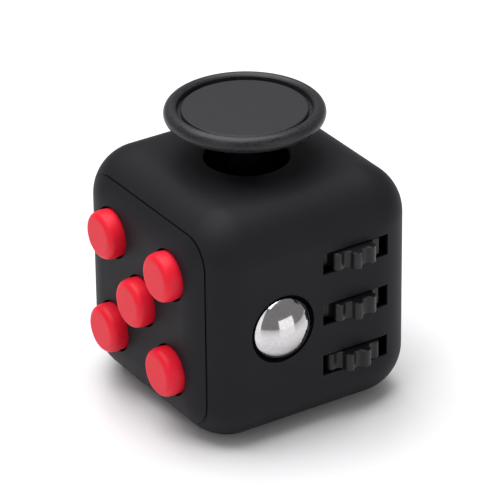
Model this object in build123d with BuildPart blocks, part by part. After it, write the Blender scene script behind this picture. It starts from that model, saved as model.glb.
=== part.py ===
from build123d import *

import os
from math import cos, radians, sin, sqrt, tan

# A hand-held fidget cube. The cube stands on its bottom face at z = 0, centred on the Z axis.
# +Z joystick, -Y ball and gears, -X five push buttons, +X spin dial, +Y rocker, -Z thumb dish.

# ---------------------------------------------------------------- driving dimensions, mm
SIDE = 33.0            # cube, face to face
EDGE_R = 6.8           # rounding of all twelve outer edges
WALL = 1.8             # shell wall
RUN = 0.05             # radial clearance of a shaft or pin that turns
FIT = 0.02             # radial clearance of a pin or screw that stays put
BITE = 0.2             # how far a boss or rod reaches into the part that it grows from

HALF = SIDE / 2
MID = SIDE / 2         # height of the cube's centre
INNER = HALF - WALL    # inner face of a side wall
TOP_IN = SIDE - WALL   # inner face of the top wall

# joint between the two half shells
SEAM_INSET = 1.4       # joint line, inside the rear shell's outer faces
SEAM_GAP = 0.17
SEAM_R = 1.9           # rounding where the joint line turns a corner
LAP_REACH = 11.5       # how far the rear shell's inner step reaches from the cube's centre
LAP_GAP = 0.1
LAP_R = 3.0
PEG_R = 0.9
# pegs on the rear shell: x and z, start in y, and length towards -Y
PEGS = [(10.3, 26.8, 14.9, 3.6), (-10.3, 26.8, 14.9, 3.0)]
PEGS += [(-10.9, 3.4, -11.2, 2.2), (10.1, 3.4, -11.2, 2.2)]
# the front shell's gussets that take the pegs, and the rear shell's lugs: low and high x, y and z
GUSSETS = [((8.6, 15.5), (10.0, 13.6), (25.1, 32.5)), ((-12.0, -8.6), (11.4, 13.2), (25.1, 32.5))]
GUSSETS += [((-12.4, -9.3), (-16.0, -11.7), (2.4, 5.2)), ((8.8, 12.0), (-16.0, -11.7), (2.4, 5.2))]
LUGS = [((-12.4, -9.4), (-11.2, -8.6), (1.5, 5.0)), ((9.0, 11.2), (-11.2, -8.6), (1.5, 5.0))]

# small pan-head screws
SCREW_R = 0.5
SCREW_HEAD_R = 1.0
SCREW_HEAD_H = 0.6
SCREW_SLOT = 0.25
BOSS_R = 1.5
EAR_T = 1.0            # thickness of a screw ear
JOY_SCREW_L = 3.8
PLATE_SCREW_L = 3.0
BRIDGE_SCREW_L = 3.6
CAGE_LOW_SCREW_L = 2.5
CAGE_HIGH_SCREW_L = 3.2
DIAL_SCREW_L = 2.3
FRAME_SCREW_L = 2.8

# joystick
JOY_HOLE_R = 5.66
JOY_HOLE_ROUND = 0.3
JOY_Y = 0.3            # the joystick stands this far behind the middle of its hole
JOY_PIVOT_Z = 26.0
JOY_STEM_R = 2.2
JOY_PIN_R = 0.7
CAP_R = 10.57          # over the rim
CAP_BEAD_R = 1.12      # half the rim's thickness
CAP_RIM_Z = 39.2       # middle of the rim
CAP_GROOVE_R = 8.9     # outer edge of the groove inside the rim
CAP_LIP_Z = 39.95      # the rim's inner edge, at the groove
PAD_R = 8.3
PAD_TOP_Z = 39.8
PAD_ROUND = 0.2
HOUSING_R = 7.4
HOUSING_IN_R = 6.75
HOUSING_FLOOR_Z = 20.3
HOUSING_FLOOR_T = 0.8
RING_R = 6.2
RING_IN_R = 4.6
RING_H = 2.4
FOOT_R = 3.4
FOOT_Z = 22.9
FOOT_T = 0.7
JOY_SPRING_R = 2.6
JOY_SPRING_WIRE_R = 0.25
JOY_EAR_REACH = 9.3
JOY_EAR_ANGLE = 25.0
JOY_EAR_Z = 26.5

# push buttons
BUTTON_PITCH = 6.96
BUTTON_R = 3.26        # where it leaves the wall
BUTTON_BELLY_R = 3.29   # halfway out
BUTTON_TIP_R = 3.02
BUTTON_PROUD = 2.18
BUTTON_ROUND = 0.95
BUTTON_POST_R = 1.1    # pushes the dome
BUTTON_POST_L = 0.68
BUTTON_HOLE_R = 3.57
BUTTON_FLANGE_R = 3.9
BUTTON_FLANGE_T = 0.72
BUTTON_SEAT_R = 4.15
PLATE_X = -11.9        # outer face of the switch plate
PLATE_T = 0.8
PLATE_HALF = 11.2
PLATE_CORNER_R = 2.5
PLATE_SCREW_REACH = 9.6
DOME_R = 2.6
DOME_TOP_R = 1.4
DOME_T = 0.3
DOME_BRIM = 0.4

# ball
BALL_X = -5.25
BALL_R = 5.1
BALL_Y = -13.65        # centre of the ball
BALL_HOLE_R = 4.74     # at the face; the hole opens out towards the inside
BALL_HOLE_IN_R = 5.7
SOCKET_R = 5.6
SOCKET_GAP = 0.09      # between the socket's cone and the shell's
SOCKET_FRONT_Y = -HALF + 0.08
SOCKET_TAIL_R = 3.6
SOCKET_STEP_Y = -9.0
SOCKET_BACK_Y = -8.0
BRIDGE_Y = -6.6
BRIDGE_T = 0.8
BRIDGE_PAD_R = 3.3
BRIDGE_ARM_HALF_W = 1.2
BALL_SPRING_R = 2.2
BALL_SPRING_WIRE_R = 0.2
BRIDGE_POSTS = [(-7.0, 24.6), (-5.25, 8.4)]

# gears
GEAR_X = 6.0
GEAR_Y = -13.65
GEAR_R = 4.62          # over the lobes
GEAR_LOBES = 10
# one lobe's smooth wave: angle from the lobe's middle in degrees, and radius
LOBE_WAVE = [(-12.0, 3.88), (-9.0, 4.2), (-5.5, 4.53), (0.0, GEAR_R), (5.5, 4.53), (9.0, 4.2)]
LOBE_WAVE += [(12.0, 3.88), (18.0, 3.78)]
GEAR_BEVEL = 0.12
GEAR_T = 2.5
GEAR_PITCH = 7.44
GEAR_Z = MID - 0.01
GEAR_TURN = {"top": 9.0, "middle": 12.0, "bottom": 31.4}   # angle of a lobe, degrees
SLOT_LEFT = 0.91
SLOT_RIGHT = 11.07
SLOT_H = 3.01
RELIEF = 0.4           # the slots open out this much behind the face
FACE_T = 0.9           # wall left in front of the relief
AXLE_R = 0.6
CAGE_HALF_W = 2.2
CAGE_BACK_Y = -6.65
CAGE_WEB_T = 0.7
CAGE_ARM_T = 1.0
CAGE_LOW_Z = 5.4
CAGE_HIGH_Z = 27.6
CAGE_FRONT_Y = -14.6
CAGE_SCREW_Y = -9.8
RIB_HALF_W = 1.6
RIB_BACK_Y = -8.6
LOW_RIB_H = 2.2
HIGH_RIB_FRONT_Y = -12.6
SPACER_R = 1.0
SPACER_ROOM = 0.3      # pocket in the shell around the spacers and the axle's ends
SPACER_GAP = 0.04
CLIP_T = 0.4

# spin dial
DIAL_R = 8.0
DIAL_RECESS_R = 8.2
DIAL_RECESS = 1.1
DIAL_PROUD = 0.4
DIAL_PAD_R = 9.0       # thickened wall behind the dial
DIAL_PAD_X = 14.0
DIAL_SHAFT_R = 1.9
DIAL_SHAFT_END = 13.5
DIAL_NUB_R = 1.75
DIAL_NUB_REACH = 5.1
DIAL_NUB_TOP = HALF + BUTTON_PROUD

# rocker
ROCKER_PIVOT_Y = 13.6
ROCKER_TILT = 11.0     # each way from level
ROCKER_END_R = 7.25    # rounded ends, about the pivot
ROCKER_HALF_W = 4.0
ROCKER_PIN_R = 0.75
ROCKER_HOLE_W = 8.3
ROCKER_HOLE_L = 14.6
ROCKER_NOSE_R = 0.5
ROCKER_NOSE_REACH = 3.2
FRAME_HALF_W = 6.0
FRAME_HALF_L = 8.9
FRAME_OPEN_HALF_L = 7.5
FRAME_OPEN_HALF_W = 4.25
FRAME_BACK_Y = 9.2
FRAME_FLOOR_T = 0.8
ROCKER_EAR_X = 8.0
ROCKER_EAR_Y = 13.4
LEAF_HALF_W = 2.0
LEAF_HALF_L = 6.5
LEAF_RIDGE = 0.5
LEAF_RISE = 0.4
LEAF_T = 0.2

# thumb dish in the bottom
DISH_HALF_L = 9.1
DISH_HALF_W = 6.83
DISH_DROP = 2.0        # centre of the dish's ellipsoid below the face
DISH_HALF_H = 4.0
DISH_WALL = 1.5

BALL_AXIS = Axis((BALL_X, 0, MID), (0, 1, 0))


# ---------------------------------------------------------------- shared shapes
def rounded_cube(inset):
    """The cube's outline, moved in by inset on every face."""
    size = SIDE - 2 * inset
    with BuildPart() as made:
        with Locations((0, 0, MID)):
            Box(size, size, size)
        fillet(made.edges(), EDGE_R - inset)
    return made.part


def front_block(inset, radius):
    """Everything on the front shell's side of the joint line."""
    corner = (-HALF + inset, HALF - inset, inset)
    with BuildPart() as made:
        with Locations(corner):
            Box(2 * SIDE, 2 * SIDE, 2 * SIDE, align=(Align.MIN, Align.MAX, Align.MIN))
        fillet(made.edges().sort_by_distance(corner)[:3], radius)
    return made.part


def lap_block(reach):
    """The space that the rear shell's inner step may fill."""
    corner = (reach, -reach, MID + reach)
    with BuildPart() as made:
        with Locations(corner):
            Box(2 * SIDE, 2 * SIDE, 2 * SIDE, align=(Align.MAX, Align.MIN, Align.MAX))
        fillet(made.edges().sort_by_distance(corner)[:3], LAP_R)
    return made.part


def block(x, y, z):
    """A plain block between the given low and high x, y and z."""
    with BuildPart() as made:
        with Locations(((x[0] + x[1]) / 2, (y[0] + y[1]) / 2, (z[0] + z[1]) / 2)):
            Box(x[1] - x[0], y[1] - y[0], z[1] - z[0])
    return made.part


def gusset(x, y, z):
    """A block that grows out of the shell's corner without breaking its outer face."""
    with BuildPart() as made:
        add(block(x, y, z))
        add(rounded_cube(WALL / 2), mode=Mode.INTERSECT)
    return made.part


def rod(start, direction, radius, length):
    """A plain round bar from start."""
    with BuildPart() as made:
        with BuildSketch(Plane(origin=start, z_dir=direction)):
            Circle(radius)
        extrude(amount=length)
    return made.part


def tube(start, direction, outer, inner, length):
    """A plain round sleeve from start."""
    with BuildPart() as made:
        with BuildSketch(Plane(origin=start, z_dir=direction)):
            Circle(outer)
            Circle(inner, mode=Mode.SUBTRACT)
        extrude(amount=length)
    return made.part


def turned(points, axis, plane):
    """A solid turned from a closed outline of straight lines."""
    with BuildPart() as made:
        with BuildSketch(plane):
            with BuildLine():
                Polyline(*points, close=True)
            make_face()
        revolve(axis=axis)
    return made.part


def screw(length, shank=SCREW_R - FIT):
    """Slotted pan-head screw: the head sits on z = 0, the shank runs down from it."""
    with BuildPart() as made:
        with BuildSketch(Plane.XY):
            Circle(SCREW_HEAD_R)
        extrude(amount=SCREW_HEAD_H)
        fillet(made.edges().group_by(Axis.Z)[-1], SCREW_HEAD_H / 3)
        with BuildSketch(Plane.XY):
            Circle(shank)
        extrude(amount=-length)
        chamfer(made.edges().group_by(Axis.Z)[0], shank / 2)
        with Locations((0, 0, SCREW_HEAD_H)):
            Box(3 * SCREW_HEAD_R, SCREW_SLOT, SCREW_HEAD_H, mode=Mode.SUBTRACT)
    return made.part


def coil(start, direction, radius, wire_r, height, turns):
    """Open coil spring of round wire, made along Z and then stood at start."""
    with BuildPart() as made:
        with BuildLine() as path:
            Helix(pitch=height / turns, height=height, radius=radius)
        with BuildSketch(Plane(origin=path.line @ 0, z_dir=path.line % 0)):
            Circle(wire_r)
        sweep()
    return Plane(origin=start, z_dir=direction).location * made.part


def write(part, name):
    """Label a finished piece and save it as one STEP file."""
    part.label = name
    export_step(part, f"parts/{name}.step")


os.makedirs("parts", exist_ok=True)

button_places = {"top_front": (-1, 1), "top_back": (1, 1), "centre": (0, 0)}
button_places |= {"bottom_front": (-1, -1), "bottom_back": (1, -1)}
button_spots = {}
for place, (along_y, along_z) in button_places.items():
    button_spots[place] = (along_y * BUTTON_PITCH, MID + along_z * BUTTON_PITCH)

plate_screw_spots = [(0, MID + PLATE_SCREW_REACH), (0, MID - PLATE_SCREW_REACH)]
plate_screw_spots.append((PLATE_SCREW_REACH, MID))

joy_ear_spots = []
for turn in (JOY_EAR_ANGLE, JOY_EAR_ANGLE + 180):
    joy_ear_spots.append((JOY_EAR_REACH * cos(radians(turn)), JOY_EAR_REACH * sin(radians(turn))))

gear_heights = {"top": GEAR_Z + GEAR_PITCH, "middle": GEAR_Z, "bottom": GEAR_Z - GEAR_PITCH}

# ---------------------------------------------------------------- front shell: top, front and right
with BuildPart() as front_shell:
    add(rounded_cube(0))
    add(rounded_cube(WALL), mode=Mode.SUBTRACT)
    add(lap_block(LAP_REACH), mode=Mode.SUBTRACT)
    add(front_block(SEAM_INSET, SEAM_R), mode=Mode.INTERSECT)
    # wall behind the dial, bosses, ribs and peg sockets
    add(rod((DIAL_PAD_X, 0, MID), (1, 0, 0), DIAL_PAD_R, INNER - DIAL_PAD_X + BITE / 2))
    joy_boss_low = JOY_EAR_Z + EAR_T
    for x, y in joy_ear_spots:
        add(rod((x, y + JOY_Y, joy_boss_low), (0, 0, 1), BOSS_R, TOP_IN - joy_boss_low + BITE))
    for x, z in BRIDGE_POSTS:
        add(rod((x, -INNER - BITE, z), (0, 1, 0), BOSS_R, BRIDGE_Y + INNER + BITE))
    rib_x = (GEAR_X - RIB_HALF_W, GEAR_X + RIB_HALF_W)
    add(block(rib_x, (CAGE_FRONT_Y, RIB_BACK_Y), (CAGE_LOW_Z - LOW_RIB_H, CAGE_LOW_Z)))
    add(block(rib_x, (HIGH_RIB_FRONT_Y, RIB_BACK_Y), (CAGE_HIGH_Z, TOP_IN + BITE)))
    for x, y, z in GUSSETS:
        add(gusset(x, y, z))
    for x, z, start_y, length in PEGS:
        peg_room = rod((x, start_y, z), (0, -1, 0), PEG_R + RUN, length + 0.3)
        add(peg_room, mode=Mode.SUBTRACT)
    # room for the gears' axle and its spacers
    axle_room_low = CAGE_LOW_Z - 1
    axle_room = rod((GEAR_X, GEAR_Y, axle_room_low), (0, 0, 1), SPACER_R + SPACER_ROOM,
                    CAGE_HIGH_Z + 1 - axle_room_low)
    add(axle_room, mode=Mode.SUBTRACT)
    # screw holes
    for x, y in joy_ear_spots:
        screw_hole = rod((x, y + JOY_Y, joy_boss_low), (0, 0, 1), SCREW_R, JOY_SCREW_L - 0.6)
        add(screw_hole, mode=Mode.SUBTRACT)
    for x, z in BRIDGE_POSTS:
        screw_hole = rod((x, BRIDGE_Y, z), (0, -1, 0), SCREW_R, BRIDGE_SCREW_L - 0.4)
        add(screw_hole, mode=Mode.SUBTRACT)
    low_hole = rod((GEAR_X, CAGE_SCREW_Y, CAGE_LOW_Z), (0, 0, -1), SCREW_R, CAGE_LOW_SCREW_L - 0.8)
    high_hole = rod((GEAR_X, CAGE_SCREW_Y, CAGE_HIGH_Z), (0, 0, 1), SCREW_R, CAGE_HIGH_SCREW_L - 0.8)
    add(low_hole, mode=Mode.SUBTRACT)
    add(high_hole, mode=Mode.SUBTRACT)
    # joystick hole, with a soft edge
    add(rod((0, 0, TOP_IN - 1), (0, 0, 1), JOY_HOLE_R, WALL + 2), mode=Mode.SUBTRACT)
    hole_rim = front_shell.edges().filter_by(GeomType.CIRCLE).group_by(Axis.Z)[-1]
    fillet(hole_rim, JOY_HOLE_ROUND)
    # ball hole
    hole_outline = [(BALL_X, -HALF - 1), (BALL_X + BALL_HOLE_R, -HALF - 1)]
    hole_outline += [(BALL_X + BALL_HOLE_R, -HALF), (BALL_X + BALL_HOLE_IN_R, -INNER)]
    hole_outline += [(BALL_X + BALL_HOLE_IN_R, -INNER + 1), (BALL_X, -INNER + 1)]
    add(turned(hole_outline, BALL_AXIS, Plane.XY.offset(MID)), mode=Mode.SUBTRACT)
    # gear slots, opened out behind the face
    for height in gear_heights.values():
        slot_z = (height - SLOT_H / 2, height + SLOT_H / 2)
        add(block((SLOT_LEFT, SLOT_RIGHT), (-HALF - 1, -INNER + 1), slot_z), mode=Mode.SUBTRACT)
        relief_x = (SLOT_LEFT - RELIEF, SLOT_RIGHT + RELIEF)
        relief_y = (-HALF + FACE_T, -INNER + 1)
        relief_z = (slot_z[0] - RELIEF, slot_z[1] + RELIEF)
        add(block(relief_x, relief_y, relief_z), mode=Mode.SUBTRACT)
    # dial recess and shaft bore
    add(rod((HALF - DIAL_RECESS, 0, MID), (1, 0, 0), DIAL_RECESS_R, 3), mode=Mode.SUBTRACT)
    add(rod((DIAL_PAD_X - 1, 0, MID), (1, 0, 0), DIAL_SHAFT_R + RUN, 4), mode=Mode.SUBTRACT)
write(front_shell.part, "front_shell")

# ---------------------------------------------------------------- rear shell: left, back and bottom
with BuildPart() as rear_cut:
    add(front_block(SEAM_INSET - SEAM_GAP, SEAM_R + SEAM_GAP))
    add(lap_block(LAP_REACH - LAP_GAP), mode=Mode.SUBTRACT)


def dish(grow):
    """Ellipsoid that makes the thumb dish, grown by the wall for its underside."""
    halves = (DISH_HALF_L + grow, DISH_HALF_W + grow, DISH_HALF_H + grow)
    return Pos(0, 0, -DISH_DROP) * scale(Sphere(1), by=halves)


dish_cut = dish(0)
dish_mound = dish(DISH_WALL) & block((-HALF, HALF), (-HALF, HALF), (WALL / 2, SIDE))

rocker_z = (MID - ROCKER_HOLE_L / 2, MID + ROCKER_HOLE_L / 2)
rocker_hole = block((-ROCKER_HOLE_W / 2, ROCKER_HOLE_W / 2), (INNER - 0.5, HALF + 1), rocker_z)
rocker_hole = fillet(rocker_hole.edges().filter_by(Axis.Y), 0.6)

with BuildPart() as rear_shell:
    add(rounded_cube(0))
    add(rounded_cube(WALL), mode=Mode.SUBTRACT)
    add(rear_cut.part, mode=Mode.SUBTRACT)
    add(dish_mound)
    add(dish_cut, mode=Mode.SUBTRACT)
    # lugs, pegs and screw bosses
    for x, y, z in LUGS:
        add(block(x, y, z))
    for x, z, start_y, length in PEGS:
        add(rod((x, start_y, z), (0, -1, 0), PEG_R, length))
    for y, z in plate_screw_spots:
        add(rod((-INNER - BITE, y, z), (1, 0, 0), BOSS_R, PLATE_X + INNER + BITE))
        add(rod((PLATE_X, y, z), (-1, 0, 0), SCREW_R, PLATE_SCREW_L - 0.4), mode=Mode.SUBTRACT)
    for x in (-ROCKER_EAR_X, ROCKER_EAR_X):
        add(rod((x, ROCKER_EAR_Y, MID), (0, 1, 0), BOSS_R, INNER - ROCKER_EAR_Y + BITE))
        add(rod((x, ROCKER_EAR_Y, MID), (0, 1, 0), SCREW_R, FRAME_SCREW_L - 0.6), mode=Mode.SUBTRACT)
    # button holes and the flat seats behind them
    for y, z in button_spots.values():
        add(rod((-HALF - 1, y, z), (1, 0, 0), BUTTON_HOLE_R, 3), mode=Mode.SUBTRACT)
        add(rod((-INNER, y, z), (1, 0, 0), BUTTON_SEAT_R, 2), mode=Mode.SUBTRACT)
    add(rocker_hole, mode=Mode.SUBTRACT)
write(rear_shell.part, "rear_shell")

# ---------------------------------------------------------------- joystick, made on the Z axis
joy_move = Pos(0, JOY_Y, 0)
with BuildPart() as joystick_housing:
    add(rod((0, 0, HOUSING_FLOOR_Z), (0, 0, 1), HOUSING_R, TOP_IN - 0.1 - HOUSING_FLOOR_Z))
    for x, y in joy_ear_spots:
        add(rod((x, y, JOY_EAR_Z), (0, 0, 1), BOSS_R, EAR_T))
        with BuildSketch(Plane(origin=(0, 0, JOY_EAR_Z), x_dir=(x, y, 0), z_dir=(0, 0, 1))):
            with Locations((JOY_EAR_REACH / 2, 0)):
                Rectangle(JOY_EAR_REACH, 2 * BOSS_R)
        extrude(amount=EAR_T)
        add(rod((x, y, JOY_EAR_Z - 1), (0, 0, 1), SCREW_R + RUN, 3), mode=Mode.SUBTRACT)
    housing_in_z = HOUSING_FLOOR_Z + HOUSING_FLOOR_T
    add(rod((0, 0, housing_in_z), (0, 0, 1), HOUSING_IN_R, SIDE), mode=Mode.SUBTRACT)
    add(rod((-HALF, 0, JOY_PIVOT_Z), (1, 0, 0), JOY_PIN_R + RUN, SIDE), mode=Mode.SUBTRACT)
write(joy_move * joystick_housing.part, "joystick_housing")

with BuildPart() as joystick_screws:
    for x, y in joy_ear_spots:
        with Locations(Plane(origin=(x, y, JOY_EAR_Z), z_dir=(0, 0, -1))):
            add(screw(JOY_SCREW_L))
write(joy_move * joystick_screws.part, "joystick_screws")

with BuildPart() as gimbal_ring:
    add(tube((0, 0, JOY_PIVOT_Z - RING_H / 2), (0, 0, 1), RING_R, RING_IN_R, RING_H))
    fillet(gimbal_ring.edges().filter_by(GeomType.CIRCLE), 0.25)
    pin_length = HOUSING_R - RING_R + 0.6
    add(rod((RING_R - 0.5, 0, JOY_PIVOT_Z), (1, 0, 0), JOY_PIN_R, pin_length))
    add(rod((-RING_R + 0.5, 0, JOY_PIVOT_Z), (-1, 0, 0), JOY_PIN_R, pin_length))
    add(rod((0, -HALF, JOY_PIVOT_Z), (0, 1, 0), JOY_PIN_R + RUN, SIDE), mode=Mode.SUBTRACT)
write(joy_move * gimbal_ring.part, "gimbal_ring")

neck_top = CAP_RIM_Z - CAP_BEAD_R
stem_top = neck_top + 0.6
with BuildPart() as joystick_stem:
    add(rod((0, 0, FOOT_Z), (0, 0, 1), JOY_STEM_R, stem_top - FOOT_Z))
    with BuildSketch(Plane.XY.offset(FOOT_Z)):
        Circle(FOOT_R)
    extrude(amount=FOOT_T)
    fillet(joystick_stem.edges().group_by(Axis.Z)[0], 0.3)
    add(rod((0, -HALF, JOY_PIVOT_Z), (0, 1, 0), JOY_PIN_R + FIT, SIDE), mode=Mode.SUBTRACT)
write(joy_move * joystick_stem.part, "joystick_stem")

with BuildPart() as joystick_cross_pin:
    pin_reach = RING_R - 0.15
    add(rod((0, -pin_reach, JOY_PIVOT_Z), (0, 1, 0), JOY_PIN_R, 2 * pin_reach))
    chamfer(joystick_cross_pin.edges(), 0.15)
write(joy_move * joystick_cross_pin.part, "joystick_cross_pin")

bead_at = CAP_R - CAP_BEAD_R
bead_top = CAP_RIM_Z + CAP_BEAD_R
lip_mid = ((bead_at + CAP_GROOVE_R) / 2, bead_top - 0.1)
with BuildPart() as joystick_cap:
    with BuildSketch(Plane.XZ):
        with BuildLine():
            Polyline((CAP_GROOVE_R, CAP_LIP_Z), (CAP_GROOVE_R, CAP_RIM_Z), (0, CAP_RIM_Z), (0, stem_top),
                     (JOY_STEM_R + FIT, stem_top), (JOY_STEM_R + FIT, neck_top - 1.0),
                     (JOY_STEM_R + 0.6, neck_top - 1.0), (JOY_STEM_R + 1.4, neck_top),
                     (bead_at, neck_top))
            ThreePointArc((bead_at, neck_top), (CAP_R, CAP_RIM_Z), (bead_at, bead_top))
            ThreePointArc((bead_at, bead_top), lip_mid, (CAP_GROOVE_R, CAP_LIP_Z))
        make_face()
    revolve(axis=Axis.Z)
write(joy_move * joystick_cap.part, "joystick_cap")

with BuildPart() as joystick_pad:
    add(rod((0, 0, CAP_RIM_Z), (0, 0, 1), PAD_R, PAD_TOP_Z - CAP_RIM_Z))
    fillet(joystick_pad.edges().group_by(Axis.Z)[-1], PAD_ROUND)
write(joy_move * joystick_pad.part, "joystick_pad")

spring_low = housing_in_z + JOY_SPRING_WIRE_R + 0.05
spring_length = FOOT_Z - housing_in_z - 2 * (JOY_SPRING_WIRE_R + 0.05)
joystick_spring = coil((0, JOY_Y, spring_low), (0, 0, 1), JOY_SPRING_R, JOY_SPRING_WIRE_R, spring_length, 2)
write(joystick_spring, "joystick_spring")

# ---------------------------------------------------------------- push buttons
for place, (y, z) in button_spots.items():
    button_axis = Axis((0, y, z), (1, 0, 0))
    flange_x = -INNER + 0.08
    tip_x = -HALF - BUTTON_PROUD
    flange_in = flange_x + BUTTON_FLANGE_T
    post_end = flange_in + BUTTON_POST_L
    with BuildPart() as button:
        with BuildSketch(Plane.XY.offset(z)):
            with BuildLine():
                ThreePointArc((tip_x, y + BUTTON_TIP_R), (-HALF - BUTTON_PROUD / 2, y + BUTTON_BELLY_R),
                              (-HALF, y + BUTTON_R))
                Polyline((-HALF, y + BUTTON_R), (flange_x, y + BUTTON_R), (flange_x, y + BUTTON_FLANGE_R),
                         (flange_in, y + BUTTON_FLANGE_R), (flange_in, y + BUTTON_POST_R),
                         (post_end, y + BUTTON_POST_R), (post_end, y), (tip_x, y),
                         (tip_x, y + BUTTON_TIP_R))
            make_face()
        revolve(axis=button_axis)
        fillet(button.edges().filter_by(GeomType.CIRCLE).group_by(Axis.X)[0], BUTTON_ROUND)
    write(button.part, f"button_{place}")

    dome_top_x = post_end + 0.05
    dome_points = [(PLATE_X, y + DOME_R + DOME_BRIM), (PLATE_X, y + DOME_R - DOME_T)]
    dome_points += [(dome_top_x + DOME_T, y + DOME_TOP_R - DOME_T), (dome_top_x + DOME_T, y)]
    dome_points += [(dome_top_x, y), (dome_top_x, y + DOME_TOP_R)]
    dome_points += [(PLATE_X - 0.2, y + DOME_R), (PLATE_X - 0.2, y + DOME_R + DOME_BRIM)]
    write(turned(dome_points, button_axis, Plane.XY.offset(z)), f"button_dome_{place}")

with BuildPart() as button_plate:
    plate_span = (-PLATE_HALF, PLATE_HALF)
    add(block((PLATE_X, PLATE_X + PLATE_T), plate_span, (MID - PLATE_HALF, MID + PLATE_HALF)))
    fillet(button_plate.edges().filter_by(Axis.X), PLATE_CORNER_R)
    for y, z in plate_screw_spots:
        add(rod((PLATE_X - 1, y, z), (1, 0, 0), SCREW_R + RUN, 3), mode=Mode.SUBTRACT)
write(button_plate.part, "button_plate")

with BuildPart() as button_plate_screws:
    for y, z in plate_screw_spots:
        with Locations(Plane(origin=(PLATE_X + PLATE_T, y, z), z_dir=(1, 0, 0))):
            add(screw(PLATE_SCREW_L))
write(button_plate_screws.part, "button_plate_screws")

# ---------------------------------------------------------------- ball that rolls and clicks
with BuildPart() as ball:
    with Locations((BALL_X, BALL_Y, MID)):
        Sphere(BALL_R)
write(ball.part, "ball")

CAVITY_R = BALL_R + RUN
cavity_front = sqrt(CAVITY_R**2 - (SOCKET_FRONT_Y - BALL_Y) ** 2)
with BuildPart() as ball_socket:
    with BuildSketch(Plane.XY.offset(MID)):
        with BuildLine():
            Polyline((BALL_X + cavity_front, SOCKET_FRONT_Y),
                     (BALL_X + BALL_HOLE_R - SOCKET_GAP, SOCKET_FRONT_Y),
                     (BALL_X + SOCKET_R, -INNER - 0.02), (BALL_X + SOCKET_R, SOCKET_STEP_Y),
                     (BALL_X + SOCKET_TAIL_R, SOCKET_STEP_Y), (BALL_X + SOCKET_TAIL_R, SOCKET_BACK_Y),
                     (BALL_X, SOCKET_BACK_Y), (BALL_X, BALL_Y + CAVITY_R))
            ThreePointArc((BALL_X, BALL_Y + CAVITY_R), (BALL_X + CAVITY_R, BALL_Y),
                          (BALL_X + cavity_front, SOCKET_FRONT_Y))
        make_face()
    revolve(axis=BALL_AXIS)
write(ball_socket.part, "ball_socket")

spring_start = SOCKET_BACK_Y + BALL_SPRING_WIRE_R + 0.05
spring_length = BRIDGE_Y - SOCKET_BACK_Y - 2 * (BALL_SPRING_WIRE_R + 0.05)
spring_foot = (BALL_X, spring_start, MID)
ball_spring = coil(spring_foot, (0, 1, 0), BALL_SPRING_R, BALL_SPRING_WIRE_R, spring_length, 2)
write(ball_spring, "ball_spring")

with BuildPart() as ball_bridge:
    add(rod((BALL_X, BRIDGE_Y, MID), (0, 1, 0), BRIDGE_PAD_R, BRIDGE_T))
    for x, z in BRIDGE_POSTS:
        add(rod((x, BRIDGE_Y, z), (0, 1, 0), BOSS_R, BRIDGE_T))
        with BuildSketch(Plane.XZ.offset(-BRIDGE_Y)):
            with BuildLine():
                Polyline((BALL_X - BRIDGE_ARM_HALF_W, MID), (BALL_X + BRIDGE_ARM_HALF_W, MID),
                         (x + BRIDGE_ARM_HALF_W, z), (x - BRIDGE_ARM_HALF_W, z), close=True)
            make_face()
        extrude(amount=-BRIDGE_T)
        add(rod((x, BRIDGE_Y - 1, z), (0, 1, 0), SCREW_R + RUN, 3), mode=Mode.SUBTRACT)
write(ball_bridge.part, "ball_bridge")

with BuildPart() as ball_bridge_screws:
    for x, z in BRIDGE_POSTS:
        with Locations(Plane(origin=(x, BRIDGE_Y + BRIDGE_T, z), z_dir=(0, 1, 0))):
            add(screw(BRIDGE_SCREW_L))
write(ball_bridge_screws.part, "ball_bridge_screws")

# ---------------------------------------------------------------- three gears on one axle
def gear_outline(turn):
    """Wavy wheel, with one lobe at the angle turn."""
    points = []
    for lobe in range(GEAR_LOBES):
        for offset, reach in LOBE_WAVE:
            angle = radians(turn + offset + lobe * 360 / GEAR_LOBES)
            points.append((reach * cos(angle), reach * sin(angle)))
    with BuildSketch() as outline:
        with BuildLine():
            Spline(*points, periodic=True)
        make_face()
    return outline.sketch


for name, height in gear_heights.items():
    with BuildPart() as gear:
        with BuildSketch(Plane.XY.offset(height - GEAR_T / 2)):
            with Locations((GEAR_X, GEAR_Y)):
                add(gear_outline(GEAR_TURN[name]))
        extrude(amount=GEAR_T)
        chamfer(gear.edges().group_by(Axis.Z)[0] + gear.edges().group_by(Axis.Z)[-1], GEAR_BEVEL)
        add(rod((GEAR_X, GEAR_Y, 0), (0, 0, 1), AXLE_R + RUN, SIDE), mode=Mode.SUBTRACT)
    write(gear.part, f"gear_{name}")

axle_low = CAGE_LOW_Z - 0.7
axle_high = CAGE_HIGH_Z + 0.7
write(rod((GEAR_X, GEAR_Y, axle_low), (0, 0, 1), AXLE_R, axle_high - axle_low), "gear_axle")

with BuildPart() as gear_cage:
    cage_x = (GEAR_X - CAGE_HALF_W, GEAR_X + CAGE_HALF_W)
    web_y = (CAGE_BACK_Y - CAGE_WEB_T, CAGE_BACK_Y)
    arm_y = (CAGE_FRONT_Y, CAGE_BACK_Y)
    add(block(cage_x, web_y, (CAGE_LOW_Z, CAGE_HIGH_Z)))
    add(block(cage_x, arm_y, (CAGE_LOW_Z, CAGE_LOW_Z + CAGE_ARM_T)))
    add(block(cage_x, arm_y, (CAGE_HIGH_Z - CAGE_ARM_T, CAGE_HIGH_Z)))
    add(rod((GEAR_X, GEAR_Y, 0), (0, 0, 1), AXLE_R + FIT, SIDE), mode=Mode.SUBTRACT)
    add(rod((GEAR_X, CAGE_SCREW_Y, 0), (0, 0, 1), SCREW_R + RUN, SIDE), mode=Mode.SUBTRACT)
write(gear_cage.part, "gear_cage")

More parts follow.
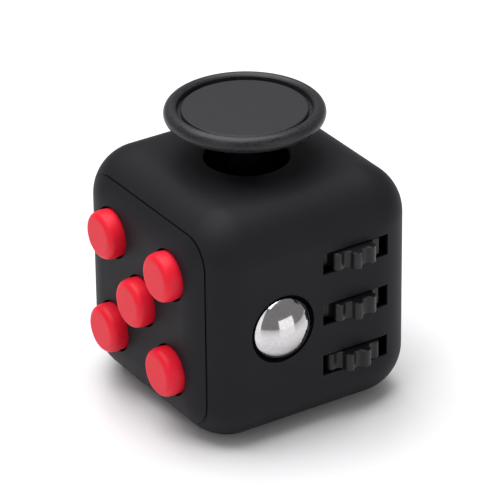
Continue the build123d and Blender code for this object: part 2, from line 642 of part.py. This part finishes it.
with BuildPart() as gear_spacers:
    spacer_ends = [CAGE_LOW_Z + CAGE_ARM_T]
    for name in ("bottom", "middle", "top"):
        spacer_ends += [gear_heights[name] - GEAR_T / 2, gear_heights[name] + GEAR_T / 2]
    spacer_ends.append(CAGE_HIGH_Z - CAGE_ARM_T)
    for low, high in zip(spacer_ends[::2], spacer_ends[1::2]):
        length = high - low - 2 * SPACER_GAP
        add(tube((GEAR_X, GEAR_Y, low + SPACER_GAP), (0, 0, 1), SPACER_R, AXLE_R + FIT, length))
write(gear_spacers.part, "gear_spacers")

with BuildPart() as gear_axle_clips:
    for low in (CAGE_LOW_Z - CLIP_T, CAGE_HIGH_Z):
        add(tube((GEAR_X, GEAR_Y, low), (0, 0, 1), SPACER_R, AXLE_R + FIT, CLIP_T))
write(gear_axle_clips.part, "gear_axle_clips")

with BuildPart() as gear_cage_screws:
    with Locations(Plane(origin=(GEAR_X, CAGE_SCREW_Y, CAGE_LOW_Z + CAGE_ARM_T), z_dir=(0, 0, 1))):
        add(screw(CAGE_LOW_SCREW_L))
    with Locations(Plane(origin=(GEAR_X, CAGE_SCREW_Y, CAGE_HIGH_Z - CAGE_ARM_T), z_dir=(0, 0, -1))):
        add(screw(CAGE_HIGH_SCREW_L))
write(gear_cage_screws.part, "gear_cage_screws")

# ---------------------------------------------------------------- spin dial
dial_back_x = HALF - DIAL_RECESS + 0.1
dial_face_x = HALF + DIAL_PROUD
dial_dish = rod((dial_face_x, 0, MID), (-1, 0, 0), DIAL_R - 1.6, 0.45)
dial_dish = fillet(dial_dish.edges().group_by(Axis.X)[0], 0.4)
nub_start = dial_face_x - 0.7
dial_nub = rod((nub_start, 0, MID + DIAL_NUB_REACH), (1, 0, 0), DIAL_NUB_R, DIAL_NUB_TOP - nub_start)
dial_nub = fillet(dial_nub.edges().group_by(Axis.X)[-1], 0.8)
with BuildPart() as spin_dial:
    add(rod((dial_back_x, 0, MID), (1, 0, 0), DIAL_R, dial_face_x - dial_back_x))
    fillet(spin_dial.edges().group_by(Axis.X)[-1], 0.35)
    add(dial_dish, mode=Mode.SUBTRACT)
    add(dial_nub)
    add(rod((dial_back_x + 0.2, 0, MID), (-1, 0, 0), DIAL_SHAFT_R, dial_back_x + 0.2 - DIAL_SHAFT_END))
    add(rod((DIAL_SHAFT_END, 0, MID), (1, 0, 0), SCREW_R + FIT, 2.0), mode=Mode.SUBTRACT)
write(spin_dial.part, "spin_dial")

dial_washer = tube((DIAL_SHAFT_END, 0, MID), (-1, 0, 0), 3.4, SCREW_R + RUN, 0.5)
write(dial_washer, "dial_washer")

wave_x = DIAL_SHAFT_END + 0.05
wave_washer = tube((wave_x, 0, MID), (1, 0, 0), 3.3, DIAL_SHAFT_R + 0.15, DIAL_PAD_X - wave_x - 0.05)
write(wave_washer, "dial_wave_washer")

with BuildPart() as dial_screw:
    with Locations(Plane(origin=(DIAL_SHAFT_END - 0.5, 0, MID), z_dir=(-1, 0, 0))):
        add(screw(DIAL_SCREW_L))
write(dial_screw.part, "dial_screw")

# ---------------------------------------------------------------- rocker
rocker_line = Axis((0, ROCKER_PIVOT_Y, MID), (1, 0, 0))
flush_height = HALF - ROCKER_PIVOT_Y + 0.09
flush_reach = sqrt(ROCKER_END_R**2 - flush_height**2)
tilt = radians(ROCKER_TILT)
tip_height = flush_height * cos(tilt) + flush_reach * sin(tilt)
tip_reach = flush_reach * cos(tilt) - flush_height * sin(tilt)
valley_height = tip_height - tip_reach * tan(tilt)
heel_height = 0.9
heel_reach = sqrt(ROCKER_END_R**2 - heel_height**2)
mid_height = (tip_height + heel_height) / 2
mid_reach = sqrt(ROCKER_END_R**2 - mid_height**2)
hub_height = -1.6
nose_height = -ROCKER_NOSE_REACH + ROCKER_NOSE_R


def rocker_point(height, reach):
    """A point of the rocker's outline, from the pivot: height outwards, reach upwards."""
    return (ROCKER_PIVOT_Y + height, MID + reach)


with BuildPart() as rocker:
    with BuildSketch(Plane.YZ.offset(-ROCKER_HALF_W)):
        with BuildLine():
            Polyline(rocker_point(tip_height, -tip_reach), rocker_point(valley_height, 0),
                     rocker_point(tip_height, tip_reach))
            ThreePointArc(rocker_point(tip_height, tip_reach), rocker_point(mid_height, mid_reach),
                          rocker_point(heel_height, heel_reach))
            Polyline(rocker_point(heel_height, heel_reach), rocker_point(hub_height, 2.0),
                     rocker_point(hub_height, ROCKER_NOSE_R), rocker_point(nose_height, ROCKER_NOSE_R))
            ThreePointArc(rocker_point(nose_height, ROCKER_NOSE_R),
                          rocker_point(-ROCKER_NOSE_REACH, 0),
                          rocker_point(nose_height, -ROCKER_NOSE_R))
            Polyline(rocker_point(nose_height, -ROCKER_NOSE_R), rocker_point(hub_height, -ROCKER_NOSE_R),
                     rocker_point(hub_height, -2.0), rocker_point(heel_height, -heel_reach))
            ThreePointArc(rocker_point(heel_height, -heel_reach), rocker_point(mid_height, -mid_reach),
                          rocker_point(tip_height, -tip_reach))
        make_face()
    extrude(amount=2 * ROCKER_HALF_W)
    fillet(rocker.faces().sort_by(Axis.Y)[-2:].edges().filter_by(Axis.X, reverse=True), 0.4)
    add(rod((-HALF, ROCKER_PIVOT_Y, MID), (1, 0, 0), ROCKER_PIN_R + RUN, SIDE), mode=Mode.SUBTRACT)
rocker_at_rest = rocker.part.rotate(rocker_line, -ROCKER_TILT)
write(rocker_at_rest, "rocker")

pin_half = FRAME_HALF_W - 0.2
write(rod((-pin_half, ROCKER_PIVOT_Y, MID), (1, 0, 0), ROCKER_PIN_R, 2 * pin_half), "rocker_pin")

with BuildPart() as rocker_frame:
    frame_y = (FRAME_BACK_Y, INNER - 0.05)
    add(block((-FRAME_HALF_W, FRAME_HALF_W), frame_y, (MID - FRAME_HALF_L, MID + FRAME_HALF_L)))
    open_x = (-FRAME_OPEN_HALF_W, FRAME_OPEN_HALF_W)
    open_z = (MID - FRAME_OPEN_HALF_L, MID + FRAME_OPEN_HALF_L)
    add(block(open_x, (FRAME_BACK_Y + FRAME_FLOOR_T, HALF), open_z), mode=Mode.SUBTRACT)
    ear_y = (ROCKER_EAR_Y - 1.0, ROCKER_EAR_Y)
    for side in (-1, 1):
        ear_x = sorted((side * (FRAME_HALF_W - 0.5), side * ROCKER_EAR_X))
        add(block(ear_x, ear_y, (MID - BOSS_R, MID + BOSS_R)))
        add(rod((side * ROCKER_EAR_X, ear_y[0], MID), (0, 1, 0), BOSS_R, 1.0))
        add(rod((side * ROCKER_EAR_X, 0, MID), (0, 1, 0), SCREW_R + RUN, SIDE), mode=Mode.SUBTRACT)
    pin_start = (-pin_half - 0.05, ROCKER_PIVOT_Y, MID)
    add(rod(pin_start, (1, 0, 0), ROCKER_PIN_R + FIT, 2 * pin_half + 0.1), mode=Mode.SUBTRACT)
write(rocker_frame.part, "rocker_frame")

# leaf spring: a flat strip with a ridge that the rocker's nose snaps over
leaf_y = FRAME_BACK_Y + FRAME_FLOOR_T + 0.02
with BuildPart() as rocker_spring:
    with BuildSketch(Plane.YZ.offset(-LEAF_HALF_W)):
        with BuildLine():
            Polyline((leaf_y, MID - LEAF_HALF_L), (leaf_y, MID - LEAF_RIDGE), (leaf_y + LEAF_RISE, MID),
                     (leaf_y, MID + LEAF_RIDGE), (leaf_y, MID + LEAF_HALF_L),
                     (leaf_y + LEAF_T, MID + LEAF_HALF_L), (leaf_y + LEAF_T, MID + LEAF_RIDGE + 0.1),
                     (leaf_y + LEAF_T + LEAF_RISE, MID), (leaf_y + LEAF_T, MID - LEAF_RIDGE - 0.1),
                     (leaf_y + LEAF_T, MID - LEAF_HALF_L), close=True)
        make_face()
    extrude(amount=2 * LEAF_HALF_W)
write(rocker_spring.part, "rocker_spring")

with BuildPart() as rocker_frame_screws:
    for x in (-ROCKER_EAR_X, ROCKER_EAR_X):
        with Locations(Plane(origin=(x, ROCKER_EAR_Y - 1.0, MID), z_dir=(0, -1, 0))):
            add(screw(FRAME_SCREW_L))
write(rocker_frame_screws.part, "rocker_frame_screws")
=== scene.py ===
from math import cos, radians, sin

import bpy
from mathutils import Matrix, Vector


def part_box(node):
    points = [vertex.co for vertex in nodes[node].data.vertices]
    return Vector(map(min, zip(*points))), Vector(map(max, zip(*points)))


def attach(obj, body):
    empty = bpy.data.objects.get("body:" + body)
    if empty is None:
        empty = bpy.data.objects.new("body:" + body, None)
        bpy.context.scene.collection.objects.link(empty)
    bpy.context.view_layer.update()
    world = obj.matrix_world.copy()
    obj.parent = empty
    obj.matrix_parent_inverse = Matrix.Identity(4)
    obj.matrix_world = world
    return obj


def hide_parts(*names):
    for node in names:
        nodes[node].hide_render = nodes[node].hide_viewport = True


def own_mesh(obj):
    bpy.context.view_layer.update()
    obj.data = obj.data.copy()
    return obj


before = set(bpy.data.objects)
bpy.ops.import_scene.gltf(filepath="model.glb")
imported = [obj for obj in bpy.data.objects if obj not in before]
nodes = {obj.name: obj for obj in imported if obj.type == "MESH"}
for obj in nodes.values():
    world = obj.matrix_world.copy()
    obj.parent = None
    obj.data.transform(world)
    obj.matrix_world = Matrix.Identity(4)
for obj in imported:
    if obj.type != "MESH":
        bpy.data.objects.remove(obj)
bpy.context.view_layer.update()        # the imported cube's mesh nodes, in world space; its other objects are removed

# Lengths are in metres unless marked. The cube stands on the floor at z = 0.
# +Z joystick, -Y ball and gears, -X push buttons, +X spin dial, +Y rocker, -Z thumb dish.
MM = 0.001
HALF_SIDE = 16.5              # half the cube's side, in millimetres
MID = HALF_SIDE * MM          # height of the cube's centre
EDGE_R = 6.8 * MM             # rounding of the cube's edges
FLAT_HALF = MID - EDGE_R      # half the flat part of a face

# Shade is painted on the shell's inner walls and the sides of its openings, fading in below the
# surface; the dish is left without it all over.
PAINTED_SHADE_STARTS = 0.12 * MM        # depth below the surface where the painted shade begins
PAINTED_SHADE_FULL = 0.5 * MM          # depth where the painted shade is full
DISH_TOP = 3.0 * MM           # the dish lies below this height
DISH_FADE = 0.5 * MM

# The joystick's stem is a duller black than its disc.
STEM_TOP_Z = 37.2 * MM
DISC_BOTTOM_Z = 37.9 * MM

BALL_CUTS = 7                 # cuts across each side of the block that the ball starts as
BALL_SMOOTHING = 3

MERGE_GAP = 0.001 * MM        # points nearer than this are one
CREASE_ANGLE = radians(35)

# Places of what the domes and springs stand on, in millimetres.
BUTTON_PITCH = 6.96           # from the middle button to the others, along Y and along Z


# ---------------------------------------------------------------- material kit
def new_material(name, colour, roughness, metallic=0.0, shine=0.5):
    """A Principled material with its even values set on the shader's own sockets."""
    made = bpy.data.materials.new(name)
    made.use_nodes = True
    shader = made.node_tree.nodes["Principled BSDF"]
    shader.inputs["Base Color"].default_value = (*colour, 1.0)
    shader.inputs["Roughness"].default_value = roughness
    shader.inputs["Metallic"].default_value = metallic
    shader.inputs["Specular IOR Level"].default_value = shine
    return made, made.node_tree, shader


def object_coords(tree):
    return tree.nodes.new("ShaderNodeTexCoord").outputs["Object"]


def height_of(tree, coords):
    split = tree.nodes.new("ShaderNodeSeparateXYZ")
    tree.links.new(coords, split.inputs["Vector"])
    return split.outputs["Z"]


def noise(tree, coords, scale, detail=2.0, roughness=0.5):
    made = tree.nodes.new("ShaderNodeTexNoise")
    made.inputs["Scale"].default_value = scale
    made.inputs["Detail"].default_value = detail
    made.inputs["Roughness"].default_value = roughness
    tree.links.new(coords, made.inputs["Vector"])
    return made.outputs["Fac"]


def ramp(tree, value, low, high, low_out=0.0, high_out=1.0):
    """value from low to high, read as low_out to high_out."""
    made = tree.nodes.new("ShaderNodeMapRange")
    made.inputs["From Min"].default_value = low
    made.inputs["From Max"].default_value = high
    made.inputs["To Min"].default_value = low_out
    made.inputs["To Max"].default_value = high_out
    tree.links.new(value, made.inputs["Value"])
    return made.outputs["Result"]


def between(tree, value, dark, light):
    """Colour from dark to light. Either may be a colour or another node's output."""
    made = tree.nodes.new("ShaderNodeMix")
    made.data_type = "RGBA"
    first, second = [socket for socket in made.inputs if socket.type == "RGBA"]
    for socket, colour in ((first, dark), (second, light)):
        if isinstance(colour, tuple):
            socket.default_value = (*colour, 1.0)
        else:
            tree.links.new(colour, socket)
    tree.links.new(value, made.inputs["Factor"])
    return next(socket for socket in made.outputs if socket.type == "RGBA")


def tint(tree, shader, value, dark, light):
    tree.links.new(between(tree, value, dark, light), shader.inputs["Base Color"])


def roughen(tree, shader, grain, low, high, smoothest, roughest):
    tree.links.new(ramp(tree, grain, low, high, smoothest, roughest), shader.inputs["Roughness"])


def bump(tree, shader, height, depth, strength=1.0):
    made = tree.nodes.new("ShaderNodeBump")
    made.inputs["Strength"].default_value = strength
    made.inputs["Distance"].default_value = depth
    tree.links.new(height, made.inputs["Height"])
    tree.links.new(made.outputs["Normal"], shader.inputs["Normal"])


def vector_step(tree, operation, first, second=None):
    """One step of vector arithmetic. second is a plain vector."""
    made = tree.nodes.new("ShaderNodeVectorMath")
    made.operation = operation
    tree.links.new(first, made.inputs[0])
    if second:
        made.inputs[1].default_value = second
    return made


def free_of_painted_shade(tree, coords):
    """1 on the cube's outside, 0 on the shell's inner walls and the sides of its openings, which
    get painted shade.
    """
    from_centre = vector_step(tree, "SUBTRACT", coords, (0, 0, MID)).outputs["Vector"]
    folded = vector_step(tree, "ABSOLUTE", from_centre).outputs["Vector"]
    past_flat = vector_step(tree, "SUBTRACT", folded, (FLAT_HALF,) * 3).outputs["Vector"]
    past_flat = vector_step(tree, "MAXIMUM", past_flat, (0, 0, 0)).outputs["Vector"]
    reach = vector_step(tree, "LENGTH", past_flat).outputs["Value"]
    skin = ramp(tree, reach, EDGE_R - PAINTED_SHADE_FULL, EDGE_R - PAINTED_SHADE_STARTS)
    dish = ramp(tree, height_of(tree, coords), DISH_TOP, DISH_TOP + DISH_FADE, 1.0, 0.0)
    either = tree.nodes.new("ShaderNodeMath")
    either.operation = "MAXIMUM"
    tree.links.new(skin, either.inputs[0])
    tree.links.new(dish, either.inputs[1])
    return either.outputs["Value"]


# ---------------------------------------------------------------- materials
def soft_touch_black():
    """Cloudy soft-touch coat outside, and painted shade inside: near black and less shiny."""
    made, tree, shader = new_material("soft_touch_black", (0.011, 0.011, 0.013), 0.55)
    coords = object_coords(tree)
    cloud = noise(tree, coords, 180, 3)
    grain = noise(tree, coords, 9000)
    unshaded = free_of_painted_shade(tree, coords)
    coat = between(tree, cloud, (0.0104, 0.0100, 0.0124), (0.0126, 0.0122, 0.0148))
    # Painted shade: the inner walls and opening sides are tinted near black, and their specular is
    # lowered.
    tint(tree, shader, unshaded, (0.0012, 0.0012, 0.0014), coat)
    tree.links.new(ramp(tree, unshaded, 0.0, 1.0, 0.02, 0.12), shader.inputs["Specular IOR Level"])
    roughen(tree, shader, grain, 0.3, 0.7, 0.50, 0.60)
    bump(tree, shader, grain, 0.01 * MM, 0.4)
    return made


def joystick_black():
    """Finely speckled black. The stem, below the disc, is darker and duller."""
    made, tree, shader = new_material("joystick_black", (0.018, 0.018, 0.021), 0.4)
    coords = object_coords(tree)
    disc = ramp(tree, height_of(tree, coords), STEM_TOP_Z, DISC_BOTTOM_Z)
    grain = noise(tree, coords, 3600, roughness=0.6)
    speckle = ramp(tree, grain, 0.38, 0.62)
    speckled = between(tree, speckle, (0.0120, 0.0117, 0.0138), (0.0250, 0.0245, 0.0282))
    tint(tree, shader, disc, (0.0030, 0.0029, 0.0034), speckled)
    tree.links.new(ramp(tree, disc, 0.0, 1.0, 0.05, 0.27), shader.inputs["Specular IOR Level"])
    roughen(tree, shader, grain, 0.35, 0.65, 0.28, 0.46)
    bump(tree, shader, grain, 0.018 * MM)
    return made


def moulded(name, dark, light, smoothest, roughest, grain_scale, depth, shine=0.5):
    """Moulded plastic or rubber: a faint cloud in its colour, and a fine grain."""
    made, tree, shader = new_material(name, light, roughest, shine=shine)
    coords = object_coords(tree)
    cloud = noise(tree, coords, 250, 3)
    grain = noise(tree, coords, grain_scale, roughness=0.6)
    tint(tree, shader, cloud, dark, light)
    roughen(tree, shader, grain, 0.35, 0.65, smoothest, roughest)
    bump(tree, shader, grain, depth)
    return made


def red_rubber():
    made, tree, shader = new_material("red_rubber", (0.72, 0.007, 0.026), 0.5, shine=0.27)
    coords = object_coords(tree)
    cloud = noise(tree, coords, 300, 3)
    grain = noise(tree, coords, 8000)
    tint(tree, shader, cloud, (0.70, 0.0055, 0.022), (0.77, 0.0085, 0.030))
    roughen(tree, shader, grain, 0.3, 0.7, 0.42, 0.54)
    bump(tree, shader, grain, 0.01 * MM, 0.4)
    return made


def polished_steel():
    """Bright steel, faintly mottled and hazy."""
    made, tree, shader = new_material("polished_steel", (0.55, 0.53, 0.54), 0.08, metallic=1.0)
    coords = object_coords(tree)
    haze = noise(tree, coords, 700, 4)
    mottle = ramp(tree, noise(tree, coords, 2600, 3, 0.7), 0.35, 0.65)
    tint(tree, shader, mottle, (0.50, 0.482, 0.490), (0.585, 0.565, 0.575))
    roughen(tree, shader, haze, 0.3, 0.75, 0.05, 0.13)
    return made


def plated_steel(name, colour, smoothest, roughest):
    made, tree, shader = new_material(name, colour, roughest, metallic=1.0)
    haze = noise(tree, object_coords(tree), 900, 3)
    roughen(tree, shader, haze, 0.3, 0.7, smoothest, roughest)
    return made


# One finish for each material slot of the CAD nodes.
finishes = {
    "shell_black": soft_touch_black(),
    "joystick_black": joystick_black(),
    "pad_black": moulded(
        "pad_black", dark=(0.0168, 0.0165, 0.0190), light=(0.0210, 0.0206, 0.0236),
        smoothest=0.40, roughest=0.56, grain_scale=5200, depth=0.012 * MM, shine=0.30),
    "button_rubber": red_rubber(),
    "dome_rubber": moulded(
        "dome_rubber", dark=(0.30, 0.30, 0.30), light=(0.36, 0.36, 0.36),
        smoothest=0.50, roughest=0.60, grain_scale=4000, depth=0.005 * MM),
    "ball_steel": polished_steel(),
    "gear_black": moulded(
        "gear_black", dark=(0.0070, 0.0068, 0.0080), light=(0.0094, 0.0091, 0.0106),
        smoothest=0.30, roughest=0.42, grain_scale=5000, depth=0.006 * MM, shine=0.30),
    "dial_black": moulded(
        "dial_black", dark=(0.013, 0.013, 0.015), light=(0.017, 0.017, 0.019),
        smoothest=0.34, roughest=0.46, grain_scale=5000, depth=0.006 * MM, shine=0.40),
    "rocker_black": moulded(
        "rocker_black", dark=(0.013, 0.013, 0.015), light=(0.017, 0.017, 0.019),
        smoothest=0.30, roughest=0.42, grain_scale=5000, depth=0.006 * MM, shine=0.40),
    "socket_black": moulded(
        "socket_black", dark=(0.0020, 0.0020, 0.0022), light=(0.0030, 0.0030, 0.0033),
        smoothest=0.35, roughest=0.50, grain_scale=5000, depth=0.006 * MM, shine=0.0),
    "frame_plastic": moulded(
        "frame_plastic", dark=(0.0060, 0.0060, 0.0064), light=(0.0090, 0.0090, 0.0095),
        smoothest=0.45, roughest=0.60, grain_scale=4000, depth=0.006 * MM, shine=0.20),
    "steel": plated_steel("plated_steel", (0.50, 0.50, 0.52), smoothest=0.22, roughest=0.36),
    "spring_steel": plated_steel("spring_steel", (0.42, 0.42, 0.44), smoothest=0.26, roughest=0.42),
}


def finish_cad_nodes():
    """Each CAD node gets the finish named by its material slot."""
    for node in nodes.values():
        for material_slot in node.material_slots:
            material_slot.material = finishes[material_slot.material.name.split(".")[0]]


finish_cad_nodes()


# ---------------------------------------------------------------- steel ball
def polish_ball():
    """A round ball: a block subdivided and cast to a sphere, in place of the faceted node."""
    low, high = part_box("ball")
    centre = [(a + b) / 2 for a, b in zip(low, high)]
    radius = (high.z - low.z) / 2
    bpy.ops.object.select_all(action="DESELECT")
    bpy.ops.mesh.primitive_cube_add(size=2 * radius, location=centre)
    ball = bpy.context.object
    ball.name = "ball_polished"
    bpy.ops.object.mode_set(mode="EDIT")
    bpy.ops.mesh.select_all(action="SELECT")
    bpy.ops.mesh.subdivide(number_cuts=BALL_CUTS)
    bpy.ops.object.mode_set(mode="OBJECT")
    smooth = ball.modifiers.new("smooth", "SUBSURF")
    smooth.levels = BALL_SMOOTHING
    smooth.render_levels = BALL_SMOOTHING
    cast = ball.modifiers.new("cast", "CAST")
    cast.factor = 1.0
    cast.use_radius_as_size = False
    cast.size = radius
    bpy.ops.object.modifier_apply(modifier="smooth")
    bpy.ops.object.modifier_apply(modifier="cast")
    bpy.ops.object.transform_apply(location=True, rotation=True, scale=True)
    bpy.ops.object.shade_smooth()
    ball.data.materials.append(finishes["ball_steel"])
    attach(ball, "ball")
    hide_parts("ball")


polish_ball()


# ---------------------------------------------------------------- springs and domes
def soft_copy(node_name, piece_name, finish):
    """A merged copy of a soft CAD node, which takes the node's place."""
    bpy.ops.object.select_all(action="DESELECT")
    piece = bpy.data.objects.new(piece_name, nodes[node_name].data.copy())
    bpy.context.scene.collection.objects.link(piece)
    bpy.context.view_layer.objects.active = piece
    piece.select_set(True)
    bpy.ops.mesh.customdata_custom_splitnormals_clear()
    bpy.ops.object.mode_set(mode="EDIT")
    bpy.ops.mesh.select_all(action="SELECT")
    bpy.ops.mesh.remove_doubles(threshold=MERGE_GAP)
    bpy.ops.mesh.normals_make_consistent(inside=False)
    bpy.ops.object.mode_set(mode="OBJECT")
    bpy.ops.object.shade_smooth_by_angle(angle=CREASE_ANGLE)
    piece.data.materials.clear()
    piece.data.materials.append(finishes[finish])
    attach(piece, "root")
    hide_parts(node_name)
    return piece


def add_return_domes():
    """One rubber dome behind each button, a merged copy of its CAD node."""
    front, back = -BUTTON_PITCH, BUTTON_PITCH
    top, bottom = HALF_SIDE + BUTTON_PITCH, HALF_SIDE - BUTTON_PITCH
    places = {"top_front": (front, top), "top_back": (back, top), "centre": (0.0, HALF_SIDE),
              "bottom_front": (front, bottom), "bottom_back": (back, bottom)}
    for place, (y, z) in places.items():
        dome = soft_copy(f"button_dome_{place}", f"return_dome_{place}", "dome_rubber")
        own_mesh(dome)


def add_springs():
    """The ball's spring and the joystick's spring, as merged copies of their CAD nodes."""
    ball_spring = soft_copy("ball_spring", "ball_return_spring", "spring_steel")
    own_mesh(ball_spring)
    stick_spring = soft_copy("joystick_spring", "joystick_return_spring", "spring_steel")
    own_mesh(stick_spring)


add_return_domes()
add_springs()


# ---------------------------------------------------------------- floor, light and camera
LIGHT_AIM = (0, 0, 0.016)
STUDIO_GREY = (0.30, 0.295, 0.30, 1.0)

CAMERA_AIM = Vector((0.000754, 0.000556, 0.01856))
CAMERA_AROUND = radians(-32.68)
CAMERA_ABOVE = radians(28.31)
CAMERA_DISTANCE = 0.5178
CAMERA_ROLL = radians(-0.59)
CAMERA_LENS = 282.94          # focal length in millimetres, on a sensor 36 mm wide


def lay_floor():
    bpy.ops.object.select_all(action="DESELECT")
    bpy.ops.mesh.primitive_plane_add(size=4.0, location=(0, 0, 0))
    floor = bpy.context.object
    floor.name = "floor"
    white = new_material("floor_white", (0.86, 0.86, 0.87), 0.22)[0]
    floor.data.materials.append(white)


def softbox(name, centre, width, height, power):
    lamp = bpy.data.lights.new(name, "AREA")
    lamp.shape = "RECTANGLE"
    lamp.size = width
    lamp.size_y = height
    lamp.energy = power
    box = bpy.data.objects.new(name, lamp)
    bpy.context.scene.collection.objects.link(box)
    box.location = centre
    box.rotation_euler = (Vector(LIGHT_AIM) - Vector(centre)).to_track_quat("-Z", "Y").to_euler()
    box.visible_camera = False


def light_studio():
    world = bpy.data.worlds.new("studio")
    bpy.context.scene.world = world
    world.use_nodes = True
    background = world.node_tree.nodes["Background"]
    background.inputs["Color"].default_value = STUDIO_GREY
    background.inputs["Strength"].default_value = 1.0
    softbox("top_light", centre=(-0.05, 0.13, 0.75), width=0.80, height=0.80, power=9.2)
    softbox("left_light", centre=(-0.608, -0.221, 0.487), width=0.28, height=1.30, power=1.35)
    softbox("front_window", centre=(0.133, -0.577, 0.115), width=0.50, height=0.31, power=0.62)


def place_camera():
    lens = bpy.data.cameras.new("camera")
    lens.lens = CAMERA_LENS
    lens.sensor_width = 36
    lens.clip_start = 0.05
    lens.clip_end = 10
    camera = bpy.data.objects.new("camera", lens)
    bpy.context.scene.collection.objects.link(camera)
    back = Vector((sin(CAMERA_AROUND) * cos(CAMERA_ABOVE), -cos(CAMERA_AROUND) * cos(CAMERA_ABOVE),
                   sin(CAMERA_ABOVE)))
    camera.location = CAMERA_AIM + back * CAMERA_DISTANCE
    turn = (-back).to_track_quat("-Z", "Y").to_matrix() @ Matrix.Rotation(CAMERA_ROLL, 3, "Z")
    camera.rotation_euler = turn.to_euler()
    bpy.context.scene.camera = camera


lay_floor()
light_studio()
place_camera()
bpy.context.scene.view_settings.view_transform = "Standard"
